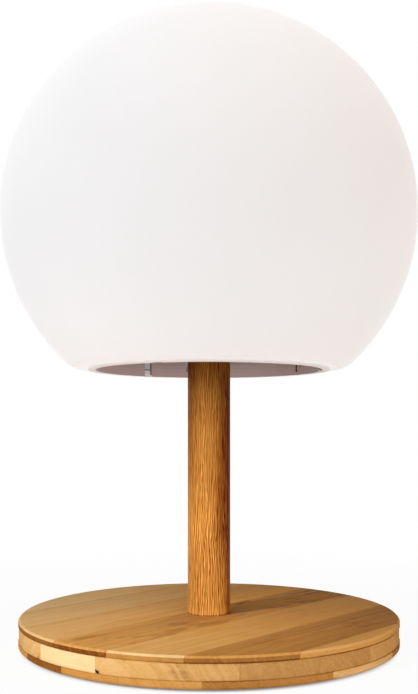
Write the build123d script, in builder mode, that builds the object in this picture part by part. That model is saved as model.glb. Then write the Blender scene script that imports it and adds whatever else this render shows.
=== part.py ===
from build123d import *
import os
from math import acos, cos, degrees, isclose, radians, sin, sqrt

# Cordless table lamp: a white globe that twists off a light module, on a dowel stem and a three-ply base.
# Millimetres. Z is up, and the origin is on the table under the middle of the base.

# Foot pads
pad_diameter = 14.0
pad_thickness = 1.2
pad_inset = 7.5
pad_count = 4
pad_turn = 45.0

# Base: three plies of glued staves, the grain of the core running across the other two
base_diameter = 165.0
bottom_ply = 3.0
core_ply = 6.4
top_ply = 2.6
base_arris = 0.8
stave_width = 27.0
grain_angle = 48.5
top_seam = -6.3
core_seam = -0.3
bottom_seam = -1.3
stave_sliver = 1.0

# Stem: a dowel that stands in the base and in the light module
stem_diameter = 18.7
stem_shown = 106.5
stem_seat_depth = 4.0
stem_chamfer = 0.6
seat_clearance = 0.1

# Threaded inserts, bolts and washers at the two ends of the stem
insert_diameter = 9.0
insert_length = 15.0
insert_clearance = 0.05
bolt_diameter = 6.0
bolt_clearance = 0.3
thread_clearance = 0.05
bolt_engagement = 12.0
bolt_tip_room = 2.0
bolt_head_diameter = 11.0
bolt_head_height = 3.2
bolt_key = 4.0
bolt_key_depth = 1.8
bolt_recess = 0.3
washer_thickness = 1.2
base_washer_diameter = 18.0
top_washer_diameter = 16.0
washer_clearance = 0.4

# Shade: a globe flattened a little, cut flat underneath
shade_diameter = 180.0
shade_height_axis = 175.0
shade_wall = 2.8
shade_rim_width = 7.8
shade_edge_radius = 8.0

# Collar: the grey ring that snaps into the shade and carries the bayonet slots
mouth_diameter = 99.0
collar_wall = 2.2
collar_clearance = 0.3
flange_width = 3.5
flange_thickness = 0.8
ledge_width = 3.3
ledge_thickness = 1.8
clip_count = 3
clip_turn = -28.8
clip_width = 9.0
clip_length = 8.0
clip_slit = 0.8
clip_gap = 0.2
barb_bite = 1.0
barb_land = 0.6
barb_height = 2.6
index_angle = 34.0
index_spacing = 3.4
index_width = 1.2
index_depth = 1.2
index_lifts = (1.3, 3.6)

# Bayonet: lugs on the module that run in slots of the collar
lug_count = 3
slot_angle = 126.2
twist_angle = 18.0
lug_width = 3.6
lug_height = 2.5
lug_lift = 3.0
lug_bite = 1.4
lug_root = 0.6
slot_clearance = 0.3
slot_overcut = 0.2

# Light module: the cup that stands on the stem, its gasket and its lid
recess_depth = 10.0
module_clearance = 0.3
housing_height = 13.0
plate_thickness = 2.4
plate_edge_radius = 1.2
hub_rise = 1.6
socket_depth = 4.0
socket_wall = 3.0
gasket_thickness = 1.2
gasket_inset = 0.3
gasket_gap = 0.1
lid_wall = 2.0
lid_top_thickness = 2.2
lid_clearance = 0.3
lid_spigot = 3.0
lid_headroom = 1.5
lid_edge_radius = 3.0

# Screws that hold the lid
pillar_count = 4
pillar_diameter = 6.4
pillar_margin = 0.8
pillar_boss_rise = 3.0
lid_screw_diameter = 3.0
lid_screw_head_diameter = 5.6
lid_screw_head_height = 1.7
lid_screw_bite = 8.0
screw_hole_clearance = 0.2
screw_thread_clearance = 0.05
screw_slot_width = 0.8

# Battery and its holder
layout_gap = 2.0
cell_diameter = 18.3
cell_length = 35.0
cell_edge_radius = 0.8
cell_clearance = 0.15
holder_wall = 1.4
holder_floor = 1.2
holder_end = 1.6
contact_diameter = 11.0
contact_thickness = 0.5

# Control board and its screws
board_length = 44.0
board_width = 18.0
board_thickness = 1.6
standoff_diameter = 5.2
standoff_inset = 3.2
board_screw_diameter = 2.2
board_screw_head_diameter = 4.0
board_screw_head_height = 1.4
board_screw_bite = 3.0

# Push button and the switch that it presses
control_spacing = 18.0
button_diameter = 12.0
button_clearance = 0.2
button_proud = 0.8
button_edge_radius = 0.5
button_dish = 0.3
button_dish_rim = 1.4
button_flange_width = 1.5
button_flange_thickness = 1.0
button_travel = 0.8
switch_side = 6.0
switch_height = 2.4
switch_gap = 0.4
plunger_diameter = 3.4
plunger_clearance = 0.2
plunger_reach = 0.6
plunger_room = 0.2

# Charging socket, its pocket and its rubber cover
port_width = 8.94
port_height = 3.26
port_shell = 0.3
port_mouth_depth = 3.6
port_clearance = 0.15
tongue_width = 6.6
tongue_thickness = 0.7
tongue_length = 3.0
pocket_margin = 2.0
pocket_depth = 1.4
cover_thickness = 1.2
cover_margin = 1.0
cover_gap = 0.1
cover_plug_clearance = 0.3
hinge_neck = 1.0
hinge_width = 5.0
hinge_gap = 0.5
anchor_length = 4.0
anchor_stub_diameter = 2.4
anchor_stub_clearance = 0.05
anchor_stub_reach = 0.6

# Charge light: a clear pin through the plate
pipe_diameter = 2.4
pipe_clearance = 0.1
pipe_flange_width = 0.6
pipe_flange_thickness = 1.0
pipe_gap = 0.3
pipe_offset = 6.0

# Lighting board on the lid
led_board_diameter = 70.0
led_board_thickness = 1.6
led_length = 3.5
led_width = 2.8
led_height = 0.7
led_outer_circle = 25.0
led_outer_count = 12
led_outer_turn = 15.0
led_inner_circle = 13.0
led_inner_count = 6
led_screw_count = 3
led_screw_circle = 30.0
led_screw_turn = 30.0
led_screw_diameter = 2.9
led_screw_head_diameter = 5.0
led_screw_head_height = 1.8
led_screw_bite = 5.0
led_boss_diameter = 5.6
led_boss_length = 4.0

# Leads inside the module
lead_diameter = 1.2
lead_spacing = 2.4
lead_bend = 3.5
lead_loop_rise = 6.0
lead_loop_span = 7.2
led_lead_offset = 1.4
lead_hole_clearance = 1.0
battery_lead_lift = 3.0
battery_lead_out = 6.5
battery_lead_corner_y = -6.0
battery_lead_end_x = 13.0
battery_lead_end_inset = 4.5
battery_lead_end_rise = 8.0

# Heights, from the table upwards
base_bottom = pad_thickness
core_bottom = base_bottom + bottom_ply
core_top = core_bottom + core_ply
base_top = core_top + top_ply
stem_bottom = base_top - stem_seat_depth
base_bolt_seat = base_bottom + bolt_recess + bolt_head_height
counterbore_top = base_bolt_seat + washer_thickness
mouth_z = base_top + stem_shown
underside_z = mouth_z + flange_thickness
plate_z = mouth_z + recess_depth
plate_top = plate_z + plate_thickness
hub_top = plate_top + hub_rise
top_bolt_seat = hub_top + washer_thickness
shoulder_z = plate_z + housing_height
gasket_top = shoulder_z + gasket_thickness
ledge_z = gasket_top + gasket_gap
collar_top = ledge_z + ledge_thickness
lug_bottom = plate_z + lug_lift
lug_top = lug_bottom + lug_height
pillar_foot = plate_top + pillar_boss_rise
cell_axis_z = plate_top + holder_floor + cell_clearance + cell_diameter / 2
lid_bottom = shoulder_z - lid_spigot
lid_under = cell_axis_z + cell_diameter / 2 + lid_headroom
lid_top = lid_under + lid_top_thickness
led_top = lid_top + led_board_thickness
button_flange_z = plate_top + button_flange_thickness
switch_bottom = button_flange_z + button_travel + switch_gap
board_bottom = switch_bottom + switch_height
board_top = board_bottom + board_thickness
pocket_z = plate_z + pocket_depth
cover_top = plate_z - cover_gap
hinge_z = cover_top - cover_thickness / 2

# Radii, from the axis outwards
stem_radius = stem_diameter / 2
seat_radius = stem_radius + seat_clearance
socket_radius = seat_radius + socket_wall
mouth_radius = mouth_diameter / 2
collar_radius = mouth_radius + collar_wall
shade_hole_radius = collar_radius + collar_clearance
flange_radius = mouth_radius + flange_width
module_radius = mouth_radius - module_clearance
ledge_radius = mouth_radius - ledge_width
lid_radius = ledge_radius - lid_clearance
lid_inner_radius = lid_radius - lid_wall
module_inner_radius = lid_radius + lid_clearance
lug_radius = mouth_radius + lug_bite
barb_radius = shade_hole_radius + barb_bite
pillar_circle = lid_inner_radius - pillar_margin - pillar_diameter / 2
pad_circle = base_diameter / 2 - pad_inset - pad_diameter / 2

# The globe is an ellipsoid, and its underside is as wide as the hole and the rim round it
underside_radius = shade_hole_radius + shade_rim_width
shade_radius = shade_diameter / 2
shade_half_height = shade_height_axis / 2
underside_ratio = underside_radius / shade_radius
shade_drop = shade_half_height * sqrt(1 - underside_ratio**2)
shade_centre_z = underside_z + shade_drop

# Places in plan: the battery behind the stem, the board, button and socket in front of it
cell_y = top_washer_diameter / 2 + layout_gap + holder_wall + cell_clearance + cell_diameter / 2
board_y = -(socket_radius + layout_gap + button_clearance + button_diameter / 2)
button_x = -control_spacing / 2
port_x = control_spacing / 2
holder_inside = cell_length / 2 + cell_clearance + contact_thickness
standoff_x = board_length / 2 - standoff_inset
standoff_y = board_width / 2 - standoff_inset
pocket_length = port_width + 2 * pocket_margin
pocket_width = port_height + 2 * pocket_margin
cover_length = pocket_length + 2 * cover_margin
cover_width = pocket_width + 2 * cover_margin
hinge_x = port_x + cover_length / 2 + hinge_neck
anchor_x = hinge_x + cover_thickness / 2 + hinge_gap
anchor_stub_x = anchor_x + anchor_length / 2
pipe_y = board_y - pipe_offset
led_lead_y = board_y - led_lead_offset
led_lead_hole = lead_spacing + lead_diameter + 2 * lead_hole_clearance

# Places of the repeated screws, as points in plan
pillar_spots = [
    Vector(pillar_circle, 0).rotate(Axis.Z, 360 / pillar_count * i)
    for i in range(pillar_count)
]
led_screw_spots = [
    Vector(led_screw_circle, 0).rotate(Axis.Z, led_screw_turn + 360 / led_screw_count * i)
    for i in range(led_screw_count)
]
standoff_spots = [
    Vector(x, board_y + y)
    for x in (-standoff_x, standoff_x)
    for y in (-standoff_y, standoff_y)
]


def radial_plane(angle):
    """Upright plane through the lamp's axis, with its own X pointing outwards at that angle."""
    turn = radians(angle)
    return Plane(origin=(0, 0, 0), x_dir=(cos(turn), sin(turn), 0), z_dir=(sin(turn), -cos(turn), 0))


def ring_sector(inner, outer, bottom, top, start, arc):
    """Part of a ring between two radii and two heights, from the start angle round by arc degrees."""
    with BuildPart() as sector:
        with BuildSketch(radial_plane(start)):
            with Locations(((inner + outer) / 2, (bottom + top) / 2)):
                Rectangle(outer - inner, top - bottom)
        revolve(axis=Axis.Z, revolution_arc=arc)
    return sector.part


def column(radius, bottom, top, centre=(0, 0)):
    """Round column between two heights."""
    with BuildPart() as shaft:
        with BuildSketch(Plane.XY.offset(bottom)):
            with Locations((centre[0], centre[1])):
                Circle(radius)
        extrude(amount=top - bottom)
    return shaft.part


def socket_bolt(seat, length):
    """Bolt with a domed hexagon-socket head that bears on the seat plane, its shank along the normal."""
    with BuildPart() as bolt:
        with BuildSketch(seat):
            Circle(bolt_head_diameter / 2)
        extrude(amount=-bolt_head_height)
        rim = bolt.edges().filter_by(GeomType.CIRCLE).sort_by(Axis(seat.origin, seat.z_dir))[0]
        fillet(rim, radius=bolt_head_height / 2)
        with BuildSketch(seat):
            Circle(bolt_diameter / 2)
        extrude(amount=length)
        with BuildSketch(seat.offset(-bolt_head_height)):
            RegularPolygon(radius=bolt_key / 2, side_count=6, major_radius=False)
        extrude(amount=bolt_key_depth, mode=Mode.SUBTRACT)
    return bolt.part


def pan_screw(seat, diameter, length, head_diameter, head_height):
    """Small screw with a cross-slotted pan head that bears on the seat plane, its shank along the normal."""
    with BuildPart() as screw:
        with BuildSketch(seat):
            Circle(head_diameter / 2)
        extrude(amount=-head_height)
        rim = screw.edges().filter_by(GeomType.CIRCLE).sort_by(Axis(seat.origin, seat.z_dir))[0]
        fillet(rim, radius=head_height / 2)
        with BuildSketch(seat):
            Circle(diameter / 2)
        extrude(amount=length)
        with BuildSketch(seat.offset(-head_height)):
            Rectangle(head_diameter / 2, screw_slot_width)
            Rectangle(screw_slot_width, head_diameter / 2)
        extrude(amount=head_height / 2, mode=Mode.SUBTRACT)
    return screw.part


def lead(points, bends):
    """Round lead along straight runs joined by arcs."""
    with BuildPart() as wire:
        with BuildLine() as route:
            FilletPolyline(*points, radius=bends)
        with BuildSketch(Plane(origin=route.line @ 0, z_dir=route.line % 0)):
            Circle(lead_diameter / 2)
        sweep()
    return wire.part


def stave_planes(normal_angle, seam):
    """Upright planes, one stave apart, that part a ply into its staves."""
    reach = base_diameter / 2 - stave_sliver
    count = int(base_diameter / stave_width) + 1
    normal = Vector(1, 0, 0).rotate(Axis.Z, normal_angle)
    offsets = [seam + stave_width * i for i in range(-count, count + 1)]
    return [Plane(origin=normal * offset, z_dir=normal) for offset in offsets if abs(offset) < reach]


def cut_globe(radius, half_height, bottom, edge_radius):
    """Ellipsoid about the middle of the shade, cut flat at the bottom height, with that edge rounded."""
    rim_angle = degrees(acos(sqrt(1 - ((shade_centre_z - bottom) / half_height) ** 2)))
    with BuildPart() as globe:
        with BuildSketch(Plane.XZ):
            with BuildLine():
                side = EllipticalCenterArc(
                    (0, shade_centre_z), radius, half_height, start_angle=-rim_angle, arc_size=90 + rim_angle
                )
                Polyline(side @ 1, (0, bottom), side @ 0)
            make_face()
        revolve(axis=Axis.Z)
        fillet(globe.edges().filter_by(GeomType.CIRCLE).sort_by(Axis.Z)[0], radius=edge_radius)
    return globe.part


# Stepped bore of the base: seat of the stem above, bolt hole between, counterbore of the washer below
with BuildPart() as base_bore:
    add(column(bolt_diameter / 2 + bolt_clearance, base_bottom - bolt_tip_room, base_top))
    add(column(seat_radius, stem_bottom, base_top + stem_seat_depth))
    add(column(base_washer_diameter / 2 + washer_clearance, base_bottom - bolt_tip_room, counterbore_top))


def glued_ply(bottom, top, normal_angle, seam):
    """Disc of glued staves, its outer edge eased, bored for the stem and its bolt."""
    with BuildPart() as ply:
        with BuildSketch(Plane.XY.offset(bottom)):
            Circle(base_diameter / 2)
        extrude(amount=top - bottom)
        eased = [
            edge
            for edge in ply.edges().filter_by(GeomType.CIRCLE)
            if isclose(edge.center().Z, base_bottom) or isclose(edge.center().Z, base_top)
        ]
        if eased:
            chamfer(eased, length=base_arris)
        add(base_bore.part, mode=Mode.SUBTRACT)
        for plane in stave_planes(normal_angle, seam):
            split(bisect_by=plane, keep=Keep.BOTH)
    return ply.part


def save(piece, name):
    """Name a finished piece and write it."""
    piece.label = name
    export_step(piece, f"parts/{name}.step")


os.makedirs("parts", exist_ok=True)

# Foot pads under the base
with BuildPart() as foot_pads:
    with BuildSketch(Plane.XY):
        with PolarLocations(pad_circle, pad_count, start_angle=pad_turn):
            Circle(pad_diameter / 2)
    extrude(amount=pad_thickness)
save(foot_pads.part, "foot_pads")

# The three plies of the base
save(glued_ply(base_bottom, core_bottom, grain_angle - 90, bottom_seam), "base_bottom_ply")
save(glued_ply(core_bottom, core_top, grain_angle + 180, core_seam), "base_core_ply")
save(glued_ply(core_top, base_top, grain_angle - 90, top_seam), "base_top_ply")

# Stem, bored at both ends for the inserts and the bolt tips
with BuildPart() as stem:
    with BuildSketch(Plane.XY.offset(stem_bottom)):
        Circle(stem_radius)
    extrude(amount=plate_z - stem_bottom)
    chamfer(stem.edges().filter_by(GeomType.CIRCLE), length=stem_chamfer)
    bore_radius = insert_diameter / 2 + insert_clearance
    tip_radius = bolt_diameter / 2 + bolt_clearance
    tip_depth = bolt_engagement + bolt_tip_room
    add(column(bore_radius, stem_bottom, stem_bottom + insert_length), mode=Mode.SUBTRACT)
    add(column(tip_radius, stem_bottom, stem_bottom + tip_depth), mode=Mode.SUBTRACT)
    add(column(bore_radius, plate_z - insert_length, plate_z), mode=Mode.SUBTRACT)
    add(column(tip_radius, plate_z - tip_depth, plate_z), mode=Mode.SUBTRACT)
save(stem.part, "stem")

# Threaded inserts in the two ends of the stem
insert_bottoms = {"stem_bottom_insert": stem_bottom, "stem_top_insert": plate_z - insert_length}
for name, bottom in insert_bottoms.items():
    with BuildPart() as insert:
        with BuildSketch(Plane.XY.offset(bottom)):
            Circle(insert_diameter / 2)
            Circle(bolt_diameter / 2 + thread_clearance, mode=Mode.SUBTRACT)
        extrude(amount=insert_length)
    save(insert.part, name)

# Washers and bolts that clamp the stem to the base and to the module
washers = {
    "base_washer": (base_bolt_seat, base_washer_diameter),
    "stem_top_washer": (hub_top, top_washer_diameter),
}
for name, (bottom, diameter) in washers.items():
    with BuildPart() as washer:
        with BuildSketch(Plane.XY.offset(bottom)):
            Circle(diameter / 2)
            Circle(bolt_diameter / 2 + bolt_clearance, mode=Mode.SUBTRACT)
        extrude(amount=washer_thickness)
    save(washer.part, name)
upward_seat = Plane((0, 0, base_bolt_seat), z_dir=(0, 0, 1))
downward_seat = Plane((0, 0, top_bolt_seat), z_dir=(0, 0, -1))
save(socket_bolt(upward_seat, stem_bottom + bolt_engagement - base_bolt_seat), "base_bolt")
save(socket_bolt(downward_seat, top_bolt_seat - plate_z + bolt_engagement), "stem_top_bolt")

# Shade: hollow ellipsoid with a flat, holed underside
with BuildPart() as shade:
    add(cut_globe(shade_radius, shade_half_height, underside_z, shade_edge_radius))
    add(
        cut_globe(
            shade_radius - shade_wall,
            shade_half_height - shade_wall,
            underside_z + shade_wall,
            shade_edge_radius - shade_wall,
        ),
        mode=Mode.SUBTRACT,
    )
    add(column(shade_hole_radius, mouth_z, underside_z + 2 * shade_wall), mode=Mode.SUBTRACT)
save(shade.part, "shade")

# Collar: flanged ring with a ledge at the top, bayonet slots, spring clips and index grooves
barb_z = underside_z + shade_wall + clip_gap
clip_top = barb_z + clip_length
slit_z = barb_z - clip_slit
slot_arc = degrees((lug_width + 2 * slot_clearance) / mouth_radius)
clip_arc = degrees(clip_width / collar_radius)
slit_arc = degrees(clip_slit / collar_radius)
index_arc = degrees(index_width / mouth_radius)
index_radius = mouth_radius + index_depth
cut_radius = collar_radius + slot_overcut
with BuildPart() as shade_collar:
    with BuildSketch(Plane.XZ):
        with BuildLine():
            Polyline(
                (mouth_radius, mouth_z),
                (flange_radius, mouth_z),
                (flange_radius, underside_z),
                (collar_radius, underside_z),
                (collar_radius, collar_top),
                (ledge_radius, collar_top),
                (ledge_radius, ledge_z),
                (mouth_radius, ledge_z),
                close=True,
            )
        make_face()
    revolve(axis=Axis.Z)
    # L-shaped slots: down to the mouth where a lug comes in, then round to where it locks
    for i in range(lug_count):
        start = slot_angle + 360 / lug_count * i - slot_arc / 2
        leg_bottom = lug_bottom - slot_clearance
        leg_top = lug_top + slot_clearance
        entry = ring_sector(ledge_radius, cut_radius, mouth_z - slot_overcut, leg_top, start, slot_arc)
        leg = ring_sector(ledge_radius, cut_radius, leg_bottom, leg_top, start, slot_arc + twist_angle)
        add(entry, mode=Mode.SUBTRACT)
        add(leg, mode=Mode.SUBTRACT)
    # Spring clips: tongues that hang between slits, with barbs that catch on the wall of the shade
    for i in range(clip_count):
        start = slot_angle + clip_turn + 360 / clip_count * i - clip_arc / 2
        freed = slit_arc + clip_arc + slit_arc
        first = ring_sector(ledge_radius, cut_radius, slit_z, clip_top, start - slit_arc, slit_arc)
        second = ring_sector(ledge_radius, cut_radius, slit_z, clip_top, start + clip_arc, slit_arc)
        across = ring_sector(ledge_radius, cut_radius, slit_z, barb_z, start - slit_arc, freed)
        add(first, mode=Mode.SUBTRACT)
        add(second, mode=Mode.SUBTRACT)
        add(across, mode=Mode.SUBTRACT)
        with BuildSketch(radial_plane(start)):
            with BuildLine():
                Polyline(
                    (mouth_radius + collar_wall / 2, barb_z),
                    (barb_radius, barb_z),
                    (barb_radius, barb_z + barb_land),
                    (mouth_radius + collar_wall / 2, barb_z + barb_height),
                    close=True,
                )
            make_face()
        revolve(axis=Axis.Z, revolution_arc=clip_arc)
    # Index grooves: upright lines on the wall that show how the shade is turned
    for i, lift in enumerate(index_lifts):
        start = index_angle - index_spacing * i - index_arc / 2
        groove = ring_sector(ledge_radius, index_radius, mouth_z + lift, plate_z, start, index_arc)
        add(groove, mode=Mode.SUBTRACT)
save(shade_collar.part, "shade_collar")

# Gasket on the shoulder of the module, under the ledge of the collar
with BuildPart() as collar_gasket:
    with BuildSketch(Plane.XY.offset(shoulder_z)):
        Circle(module_radius - gasket_inset)
        Circle(ledge_radius + gasket_inset, mode=Mode.SUBTRACT)
    extrude(amount=gasket_thickness)
save(collar_gasket.part, "collar_gasket")

# Housing: cup with a thick hub, a socket for the stem, bayonet lugs, bosses and openings for the controls
with BuildPart() as module_housing:
    with BuildSketch(Plane.XZ):
        with BuildLine():
            Polyline(
                (0, plate_z),
                (module_radius, plate_z),
                (module_radius, shoulder_z),
                (module_inner_radius, shoulder_z),
                (module_inner_radius, plate_top),
                (top_washer_diameter / 2, plate_top),
                (top_washer_diameter / 2, hub_top),
                (0, hub_top),
                close=True,
            )
        make_face()
    revolve(axis=Axis.Z)
    lower_edges = module_housing.edges().filter_by(GeomType.CIRCLE).group_by(Axis.Z)[0]
    fillet(lower_edges.sort_by(SortBy.RADIUS)[-1], radius=plate_edge_radius)
    with BuildSketch(Plane.XY.offset(plate_z)):
        Circle(socket_radius)
        Circle(seat_radius, mode=Mode.SUBTRACT)
    extrude(amount=-socket_depth)
    for i in range(lug_count):
        lug_arc = degrees(lug_width / mouth_radius)
        start = slot_angle + twist_angle + 360 / lug_count * i - lug_arc / 2
        add(ring_sector(module_radius - lug_root, lug_radius, lug_bottom, lug_top, start, lug_arc))
    for spot in pillar_spots:
        add(column(pillar_diameter / 2, plate_top, pillar_foot, tuple(spot)))
    for spot in standoff_spots:
        add(column(standoff_diameter / 2, plate_top, board_bottom, tuple(spot)))
    # Holes for the lid screws, with their heads sunk in the underside
    for spot in pillar_spots:
        with Locations(Location((spot.X, spot.Y, plate_z), (180, 0, 0))):
            CounterBoreHole(
                radius=lid_screw_diameter / 2 + screw_hole_clearance,
                counter_bore_radius=lid_screw_head_diameter / 2 + screw_hole_clearance,
                counter_bore_depth=lid_screw_head_height,
                depth=pillar_foot - plate_z,
            )
    # Pilot holes for the board screws
    for spot in standoff_spots:
        pilot = board_screw_diameter / 2 + screw_thread_clearance
        pilot_bottom = board_bottom - board_screw_bite
        add(column(pilot, pilot_bottom, board_bottom, tuple(spot)), mode=Mode.SUBTRACT)
    # Holes for the stem bolt, the button, the charge light and the stub of the cover
    add(column(bolt_diameter / 2 + bolt_clearance, plate_z, hub_top), mode=Mode.SUBTRACT)
    button_hole = button_diameter / 2 + button_clearance
    add(column(button_hole, plate_z, plate_top, (button_x, board_y)), mode=Mode.SUBTRACT)
    add(column(pipe_diameter / 2 + pipe_clearance, plate_z, plate_top, (0, pipe_y)), mode=Mode.SUBTRACT)
    stub_hole = anchor_stub_diameter / 2 + anchor_stub_clearance
    add(column(stub_hole, plate_z, plate_top, (anchor_stub_x, board_y)), mode=Mode.SUBTRACT)
    # Pocket of the charging socket, and the hole that its shell comes through
    with BuildSketch(Plane.XY.offset(plate_z)):
        with Locations((port_x, board_y)):
            SlotOverall(pocket_length, pocket_width)
    extrude(amount=pocket_depth, mode=Mode.SUBTRACT)
    with BuildSketch(Plane.XY.offset(plate_z)):
        with Locations((port_x, board_y)):
            SlotOverall(port_width + 2 * port_clearance, port_height + 2 * port_clearance)
    extrude(amount=plate_thickness, mode=Mode.SUBTRACT)
save(module_housing.part, "module_housing")

# Lid: upturned cup with pillars for its screws and bosses for the screws of the lighting board
with BuildPart() as module_lid:
    with BuildSketch(Plane.XZ):
        with BuildLine():
            Polyline(
                (0, lid_top),
                (lid_radius, lid_top),
                (lid_radius, lid_bottom),
                (lid_inner_radius, lid_bottom),
                (lid_inner_radius, lid_under),
                (0, lid_under),
                close=True,
            )
        make_face()
    revolve(axis=Axis.Z)
    upper_edge = module_lid.edges().filter_by(GeomType.CIRCLE).group_by(Axis.Z)[-1]
    fillet(upper_edge, radius=lid_edge_radius)
    for spot in pillar_spots:
        add(column(pillar_diameter / 2, pillar_foot, lid_under, tuple(spot)))
    for spot in led_screw_spots:
        add(column(led_boss_diameter / 2, lid_under - led_boss_length, lid_under, tuple(spot)))
    for spot in pillar_spots:
        pilot = lid_screw_diameter / 2 + screw_thread_clearance
        pilot_top = pillar_foot + lid_screw_bite
        add(column(pilot, pillar_foot, pilot_top, tuple(spot)), mode=Mode.SUBTRACT)
    for spot in led_screw_spots:
        pilot = led_screw_diameter / 2 + screw_thread_clearance
        add(column(pilot, lid_top - led_screw_bite, lid_top, tuple(spot)), mode=Mode.SUBTRACT)
    add(column(led_lead_hole / 2, lid_under, lid_top, (0, led_lead_y)), mode=Mode.SUBTRACT)
save(module_lid.part, "module_lid")

# Lid screws, driven from below
with BuildPart() as lid_screws:
    head_seat = plate_z + lid_screw_head_height
    screw_length = pillar_foot + lid_screw_bite - head_seat
    for spot in pillar_spots:
        seat = Plane((spot.X, spot.Y, head_seat), z_dir=(0, 0, 1))
        add(pan_screw(seat, lid_screw_diameter, screw_length, lid_screw_head_diameter, lid_screw_head_height))
save(lid_screws.part, "lid_screws")

# Lighting board with its screw holes and the hole for its leads
with BuildPart() as led_board:
    with BuildSketch(Plane.XY.offset(lid_top)):
        Circle(led_board_diameter / 2)
        with Locations(*led_screw_spots):
            Circle(led_screw_diameter / 2 + screw_hole_clearance, mode=Mode.SUBTRACT)
        with Locations((0, led_lead_y)):
            Circle(led_lead_hole / 2, mode=Mode.SUBTRACT)
    extrude(amount=led_board_thickness)
save(led_board.part, "led_board")

# Two rings of light-emitting chips
with BuildPart() as led_chips:
    with BuildSketch(Plane.XY.offset(led_top)):
        with PolarLocations(led_outer_circle, led_outer_count, start_angle=led_outer_turn):
            Rectangle(led_width, led_length)
        with PolarLocations(led_inner_circle, led_inner_count):
            Rectangle(led_width, led_length)
    extrude(amount=led_height)
save(led_chips.part, "led_chips")

# Screws of the lighting board
with BuildPart() as led_board_screws:
    for spot in led_screw_spots:
        seat = Plane((spot.X, spot.Y, led_top), z_dir=(0, 0, -1))
        screw_length = led_board_thickness + led_screw_bite
        add(pan_screw(seat, led_screw_diameter, screw_length, led_screw_head_diameter, led_screw_head_height))
save(led_board_screws.part, "led_board_screws")

# Battery cell, lying across the lamp
with BuildPart() as battery_cell:
    with BuildSketch(Plane.YZ.offset(-cell_length / 2)):
        with Locations((cell_y, cell_axis_z)):
            Circle(cell_diameter / 2)
    extrude(amount=cell_length)
    fillet(battery_cell.edges().filter_by(GeomType.CIRCLE), radius=cell_edge_radius)
save(battery_cell.part, "battery_cell")

# Battery holder: a trough as deep as half the cell, closed at both ends
with BuildPart() as battery_holder:
    holder_width = cell_diameter + 2 * (cell_clearance + holder_wall)
    holder_height = cell_axis_z - plate_top
    with BuildSketch(Plane.YZ.offset(-holder_inside - holder_end)):
        with Locations((cell_y, plate_top + holder_height / 2)):
            Rectangle(holder_width, holder_height)
    extrude(amount=2 * (holder_inside + holder_end))
    with BuildSketch(Plane.YZ.offset(-holder_inside)):
        with Locations((cell_y, cell_axis_z)):
            Circle(cell_diameter / 2 + cell_clearance)
    extrude(amount=2 * holder_inside, mode=Mode.SUBTRACT)
save(battery_holder.part, "battery_holder")

# Contact plates between the ends of the cell and of the holder
with BuildPart() as battery_contacts:
    for face_x in (-holder_inside, holder_inside - contact_thickness):
        with BuildSketch(Plane.YZ.offset(face_x)):
            with Locations((cell_y, cell_axis_z)):
                Circle(contact_diameter / 2)
        extrude(amount=contact_thickness)
save(battery_contacts.part, "battery_contacts")

# Control board on its four standoffs
with BuildPart() as control_board:
    with BuildSketch(Plane.XY.offset(board_bottom)):
        with Locations((0, board_y)):
            Rectangle(board_length, board_width)
        with Locations(*standoff_spots):
            Circle(board_screw_diameter / 2 + screw_hole_clearance, mode=Mode.SUBTRACT)
    extrude(amount=board_thickness)
save(control_board.part, "control_board")

# Screws of the control board
with BuildPart() as board_screws:
    for spot in standoff_spots:
        seat = Plane((spot.X, spot.Y, board_top), z_dir=(0, 0, -1))
        screw_length = board_thickness + board_screw_bite
        add(
            pan_screw(
                seat, board_screw_diameter, screw_length, board_screw_head_diameter, board_screw_head_height
            )
        )
save(board_screws.part, "board_screws")

# Switch under the board, hollow where its plunger slides
with BuildPart() as tact_switch:
    with BuildSketch(Plane.XY.offset(switch_bottom)):
        with Locations((button_x, board_y)):
            Rectangle(switch_side, switch_side)
    extrude(amount=switch_height)
    plunger_bore = plunger_diameter / 2 + plunger_clearance
    bore_top = switch_bottom + plunger_reach + button_travel + plunger_room
    add(column(plunger_bore, switch_bottom, bore_top, (button_x, board_y)), mode=Mode.SUBTRACT)
save(tact_switch.part, "tact_switch")

# Plunger of the switch, resting on the flange of the button
with BuildPart() as switch_plunger:
    add(column(plunger_diameter / 2, button_flange_z, switch_bottom + plunger_reach, (button_x, board_y)))
save(switch_plunger.part, "switch_plunger")

# Push button: a dished cap that stands out under the plate, with a flange that keeps it in
with BuildPart() as power_button:
    button_face = plate_z - button_proud
    add(column(button_diameter / 2, button_face, plate_top, (button_x, board_y)))
    face_edge = power_button.edges().filter_by(GeomType.CIRCLE).group_by(Axis.Z)[0]
    fillet(face_edge, radius=button_edge_radius)
    dish_radius = button_diameter / 2 - button_dish_rim
    add(column(dish_radius, button_face, button_face + button_dish, (button_x, board_y)), mode=Mode.SUBTRACT)
    flange_reach = button_diameter / 2 + button_flange_width
    add(column(flange_reach, plate_top, button_flange_z, (button_x, board_y)))
save(power_button.part, "power_button")

# Charging socket: a shell on the board with its mouth in the pocket, and the tongue inside it
with BuildPart() as usb_socket:
    with BuildSketch(Plane.XY.offset(pocket_z)):
        with Locations((port_x, board_y)):
            SlotOverall(port_width, port_height)
    extrude(amount=board_bottom - pocket_z)
    with BuildSketch(Plane.XY.offset(pocket_z)):
        with Locations((port_x, board_y)):
            SlotOverall(port_width - 2 * port_shell, port_height - 2 * port_shell)
    extrude(amount=port_mouth_depth, mode=Mode.SUBTRACT)
    with BuildSketch(Plane.XY.offset(pocket_z + port_mouth_depth)):
        with Locations((port_x, board_y)):
            Rectangle(tongue_width, tongue_thickness)
    extrude(amount=-tongue_length)
save(usb_socket.part, "usb_socket")

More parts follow.
